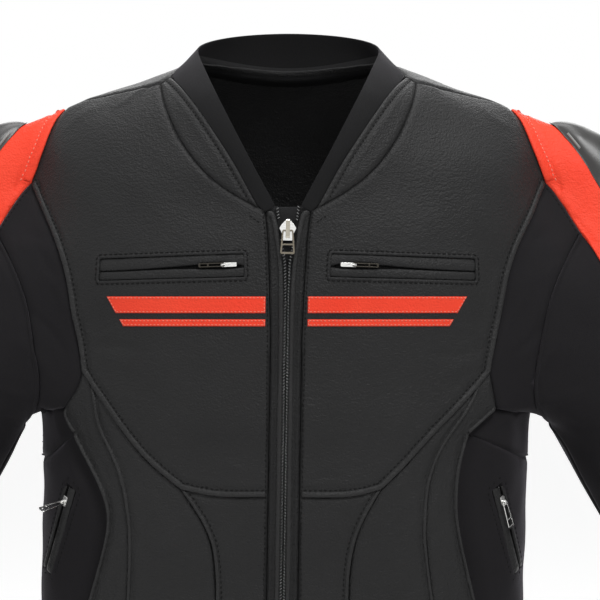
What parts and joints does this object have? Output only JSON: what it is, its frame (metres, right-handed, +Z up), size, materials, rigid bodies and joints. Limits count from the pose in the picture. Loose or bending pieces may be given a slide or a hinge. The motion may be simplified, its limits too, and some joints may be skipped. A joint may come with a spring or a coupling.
{
  "type": "leather motorcycle jacket",
  "caption": "Hollow leather motorcycle jacket in worn form, with a front zip, stretch panels, moulded shoulder plates and slanted pockets; neck, hem and cuffs are open.",
  "frame": {"origin": "between the tops of the two shoulders, where the wearer carries the jacket", "axes": "+X to the wearer's left, +Y to the wearer's back, +Z up"},
  "size_m": [0.9128, 0.2561, 0.7028],
  "materials": {
    "black_leather": "fine matt pebble grain",
    "red_leather": "fluorescent red matt leather",
    "stretch_cloth": "dense stretch weave with a fine rib",
    "collar_knit": "soft ribbed knit",
    "woven_guard": "woven tape",
    "zip_tape": "zip tape with a nylon coil",
    "moulded_plate": "satin moulded polymer",
    "bright_metal": "polished plating",
    "dark_metal": "gunmetal plating over brass"
  },
  "bodies": {
    "jacket": {"chest_l": "black_leather", "lower_front_l": "black_leather", "side_front_l": "black_leather", "flank_l": "black_leather", "underarm_l": "stretch_cloth", "side_l": "stretch_cloth", "accordion_l": "black_leather", "collar_leather_l": "black_leather", "placket_l": "black_leather", "zip_tape_l": "zip_tape", "shoulder_red_l": "red_leather", "shoulder_plate_l": "moulded_plate", "gusset_l": "stretch_cloth", "sleeve_front_l": "stretch_cloth", "sleeve_under_l": "stretch_cloth", "sleeve_outer_l": "black_leather", "cuff_l": "black_leather", "stripe_upper_l": "red_leather", "stripe_lower_l": "red_leather", "chest_pocket_welt_l": "black_leather", "chest_pocket_zip_l": "zip_tape", "hand_pocket_welt_l": "black_leather", "hand_pocket_zip_l": "zip_tape", "chest_pocket_slider_l": "bright_metal", "hand_pocket_slider_l": "bright_metal", "chest_r": "black_leather", "lower_front_r": "black_leather", "side_front_r": "black_leather", "flank_r": "black_leather", "underarm_r": "stretch_cloth", "side_r": "stretch_cloth", "accordion_r": "black_leather", "collar_leather_r": "black_leather", "placket_r": "black_leather", "zip_tape_r": "zip_tape", "shoulder_red_r": "red_leather", "shoulder_plate_r": "moulded_plate", "gusset_r": "stretch_cloth", "sleeve_front_r": "stretch_cloth", "sleeve_under_r": "stretch_cloth", "sleeve_outer_r": "black_leather", "cuff_r": "black_leather", "stripe_upper_r": "red_leather", "stripe_lower_r": "red_leather", "chest_pocket_welt_r": "black_leather", "chest_pocket_zip_r": "zip_tape", "hand_pocket_welt_r": "black_leather", "hand_pocket_zip_r": "zip_tape", "chest_pocket_slider_r": "bright_metal", "hand_pocket_slider_r": "bright_metal", "back_yoke": "black_leather", "back_centre": "black_leather", "collar_band": "collar_knit", "zip_guard": "woven_guard", "front_slider": "bright_metal"},
    "front_pull": {"front_pull": "dark_metal"},
    "chest_pocket_pull_l": {"chest_pocket_pull_l": "dark_metal"},
    "chest_pocket_pull_r": {"chest_pocket_pull_r": "dark_metal"},
    "hand_pocket_pull_l": {"hand_pocket_pull_l": "bright_metal"},
    "hand_pocket_pull_r": {"hand_pocket_pull_r": "bright_metal"}
  },
  "joints": [
    {"name": "front_pull_swing", "type": "hinge", "parent": "jacket", "child": "front_pull", "pos_m": [-0.00012, -0.11984, -0.11706], "axis": [-0.9999, 0.0024, 0.015], "range_deg": [0, 150]},
    {"name": "chest_pocket_pull_l_swing", "type": "hinge", "parent": "jacket", "child": "chest_pocket_pull_l", "pos_m": [0.05454, -0.12019, -0.14565], "axis": [-0.0285, -0.0938, -0.9952], "range_deg": [0, 100]},
    {"name": "chest_pocket_pull_r_swing", "type": "hinge", "parent": "jacket", "child": "chest_pocket_pull_r", "pos_m": [-0.05344, -0.12035, -0.14556], "axis": [-0.0286, 0.0963, 0.9949], "range_deg": [0, 100]},
    {"name": "hand_pocket_pull_l_swing", "type": "hinge", "parent": "jacket", "child": "hand_pocket_pull_l", "pos_m": [0.18272, -0.07192, -0.34576], "axis": [-0.6374, -0.6504, -0.4131], "range_deg": [0, 120]},
    {"name": "hand_pocket_pull_r_swing", "type": "hinge", "parent": "jacket", "child": "hand_pocket_pull_r", "pos_m": [-0.19002, -0.07192, -0.34569], "axis": [-0.626, 0.6516, 0.4285], "range_deg": [-75, 50]}
  ]
}
